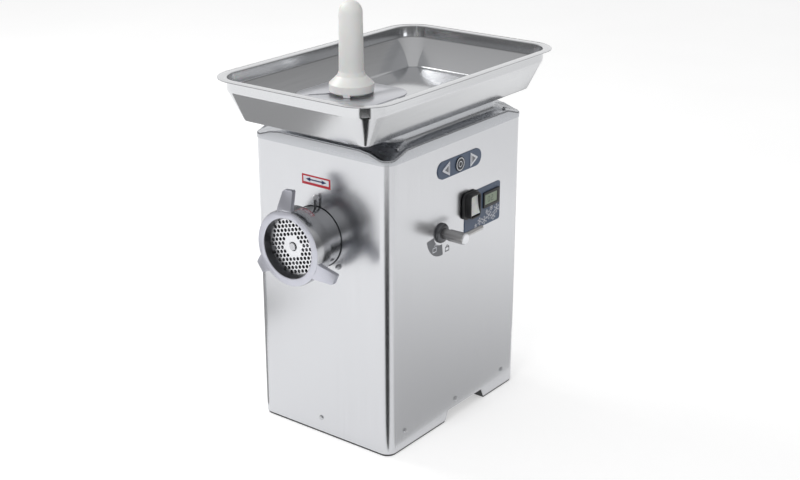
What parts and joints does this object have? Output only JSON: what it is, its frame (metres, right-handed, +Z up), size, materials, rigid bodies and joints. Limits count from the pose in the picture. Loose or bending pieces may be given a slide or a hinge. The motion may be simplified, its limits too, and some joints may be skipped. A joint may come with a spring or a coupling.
{
  "type": "refrigerated bench meat mincer",
  "caption": "Steel bench mincer with cooled feed throat, lift-off tray, white pestle, drop-out mincing head with lugged ring nut, gear motor, keypad and lock lever.",
  "frame": {"origin": "centre of the base frame's underside, at bench level", "axes": "+Z up, -Y out of the mincing head, +X out of the side with the controls"},
  "size_m": [0.364, 0.544, 0.7378],
  "materials": {
    "base_frame": "matt black powder coat",
    "feet": "moulded",
    "body_shell": "satin stainless sheet",
    "rear_panel": "satin stainless sheet",
    "top_cover": "satin stainless pressing",
    "seals": "foam and lip seals",
    "tray": "pressed stainless, polished wall",
    "tray_spout": "stainless tube",
    "guard_plate": "bead-blasted stainless plate with welded legs",
    "pestle": "white food-grade polyethylene",
    "cold_housing": "cast",
    "feed_chute": "stainless tube welded in",
    "insulation": "closed-cell foam jacket",
    "evaporator_coil": "copper tube",
    "head_barrel": "polished stainless casting",
    "index_pin": "dark steel pin with ball end",
    "ring_nut": "bead-blasted stainless casting with polished lip",
    "cutting_plate": "ground tool steel",
    "plate_key": "steel",
    "knife": "ground tool steel",
    "auger": "cast stainless",
    "auger_stud": "polished",
    "output_shaft": "steel",
    "output_gear": "cut teeth",
    "shaft_seal": "nitrile lip seal",
    "shaft_bearings": "ball bearings as closed rings",
    "gear_case": "cast",
    "gear_lid": "cast",
    "layshaft": "steel with cut pinion",
    "layshaft_wheel": "cut teeth",
    "motor_shaft": "steel with cut pinion",
    "motor_rotor": "laminated",
    "motor_stator": "laminated, with windings",
    "motor_case": "cast",
    "motor_fan": "moulded",
    "fan_cowl": "pressed",
    "shelf": "folded sheet and posts",
    "compressor": "black sealed can",
    "compressor_mounts": "grommets",
    "condenser": "fins on tubes",
    "condenser_fan": "pressed blades",
    "fan_motor": "dark",
    "pipes": "copper tube",
    "control_box": "open tray with parts",
    "keypad_plate": "slate blue film over plate",
    "keypad_board": "circuit board",
    "button_back": "white",
    "button_stop": "dark blue",
    "button_forward": "white",
    "control_panel": "slate blue film",
    "thermometer": "moulded",
    "display_lens": "grey-green liquid crystal window",
    "switch_body": "moulded",
    "switch_rocker": "white",
    "lever_boss": "dark satin",
    "lock_lever": "satin turned steel",
    "lever_rod": "polished",
    "labels": "printed film",
    "cable_gland": "moulded nylon",
    "screws": "domed stainless heads"
  },
  "bodies": {
    "machine": {"base_frame": "base_frame", "feet": "feet", "body_shell": "body_shell", "rear_panel": "rear_panel", "top_cover": "top_cover", "seals": "seals", "cold_housing": "cold_housing", "feed_chute": "feed_chute", "insulation": "insulation", "evaporator_coil": "evaporator_coil", "shaft_seal": "shaft_seal", "shaft_bearings": "shaft_bearings", "gear_case": "gear_case", "gear_lid": "gear_lid", "motor_stator": "motor_stator", "motor_case": "motor_case", "fan_cowl": "fan_cowl", "shelf": "shelf", "compressor": "compressor", "compressor_mounts": "compressor_mounts", "condenser": "condenser", "fan_motor": "fan_motor", "pipes": "pipes", "control_box": "control_box", "keypad_plate": "keypad_plate", "keypad_board": "keypad_board", "control_panel": "control_panel", "thermometer": "thermometer", "display_lens": "display_lens", "switch_body": "switch_body", "lever_boss": "lever_boss", "labels": "labels", "cable_gland": "cable_gland", "screws": "screws"},
    "tray": {"tray": "tray", "tray_spout": "tray_spout", "guard_plate": "guard_plate"},
    "pestle": {"pestle": "pestle"},
    "head": {"head_barrel": "head_barrel", "index_pin": "index_pin", "cutting_plate": "cutting_plate", "plate_key": "plate_key"},
    "ring_nut": {"ring_nut": "ring_nut"},
    "auger": {"auger": "auger", "auger_stud": "auger_stud", "knife": "knife"},
    "output": {"output_shaft": "output_shaft", "output_gear": "output_gear"},
    "layshaft": {"layshaft": "layshaft", "layshaft_wheel": "layshaft_wheel"},
    "motor": {"motor_shaft": "motor_shaft", "motor_rotor": "motor_rotor", "motor_fan": "motor_fan"},
    "condenser_fan": {"condenser_fan": "condenser_fan"},
    "lever": {"lock_lever": "lock_lever", "lever_rod": "lever_rod"},
    "button_back": {"button_back": "button_back"},
    "button_stop": {"button_stop": "button_stop"},
    "button_forward": {"button_forward": "button_forward"},
    "rocker": {"switch_rocker": "switch_rocker"}
  },
  "joints": [
    {"name": "tray_lift", "type": "slide", "parent": "machine", "child": "tray", "axis": [0, 0, 1], "range_m": [0, 0.2]},
    {"name": "pestle_lift", "type": "slide", "parent": "tray", "child": "pestle", "axis": [0, 0, 1], "range_m": [0, 0.3]},
    {"name": "head_slide", "type": "slide", "parent": "machine", "child": "head", "axis": [0, -1, 0], "range_m": [0, 0.22]},
    {"name": "ring_nut_turn", "type": "hinge", "parent": "head", "child": "ring_nut", "pos_m": [-0.006, -0.25, 0.364], "axis": [0, -1, 0], "range_deg": [0, 720]},
    {"name": "auger_spin", "type": "hinge", "parent": "head", "child": "auger", "pos_m": [-0.006, -0.15, 0.364], "axis": [0, -1, 0], "continuous": true},
    {"name": "output_spin", "type": "hinge", "parent": "machine", "child": "output", "pos_m": [-0.006, 0, 0.364], "axis": [0, -1, 0], "continuous": true},
    {"name": "layshaft_spin", "type": "hinge", "parent": "machine", "child": "layshaft", "pos_m": [-0.006, 0, 0.305], "axis": [0, -1, 0], "continuous": true},
    {"name": "motor_spin", "type": "hinge", "parent": "machine", "child": "motor", "pos_m": [-0.006, 0.08, 0.2615], "axis": [0, -1, 0], "continuous": true},
    {"name": "condenser_fan_spin", "type": "hinge", "parent": "machine", "child": "condenser_fan", "pos_m": [-0.006, 0.128, 0.076], "axis": [0, 1, 0], "continuous": true},
    {"name": "lever_turn", "type": "hinge", "parent": "machine", "child": "lever", "pos_m": [0.16, -0.0495, 0.361], "axis": [1, 0, 0], "range_deg": [-90, 0]},
    {"name": "button_back_push", "type": "slide", "parent": "machine", "child": "button_back", "axis": [-1, 0, 0], "range_m": [0, 0.001], "stiffness_N_per_m": 800},
    {"name": "button_stop_push", "type": "slide", "parent": "machine", "child": "button_stop", "axis": [-1, 0, 0], "range_m": [0, 0.001], "stiffness_N_per_m": 800},
    {"name": "button_forward_push", "type": "slide", "parent": "machine", "child": "button_forward", "axis": [-1, 0, 0], "range_m": [0, 0.001], "stiffness_N_per_m": 800},
    {"name": "rocker_tip", "type": "hinge", "parent": "machine", "child": "rocker", "pos_m": [0.149, 0.031, 0.3885], "axis": [0, 1, 0], "range_deg": [0, 18]}
  ],
  "couplings": [
    {"joint": "auger_spin", "follows": "output_spin", "ratio": 1},
    {"joint": "layshaft_spin", "follows": "output_spin", "ratio": -3.2143},
    {"joint": "motor_spin", "follows": "output_spin", "ratio": 10.102}
  ]
}
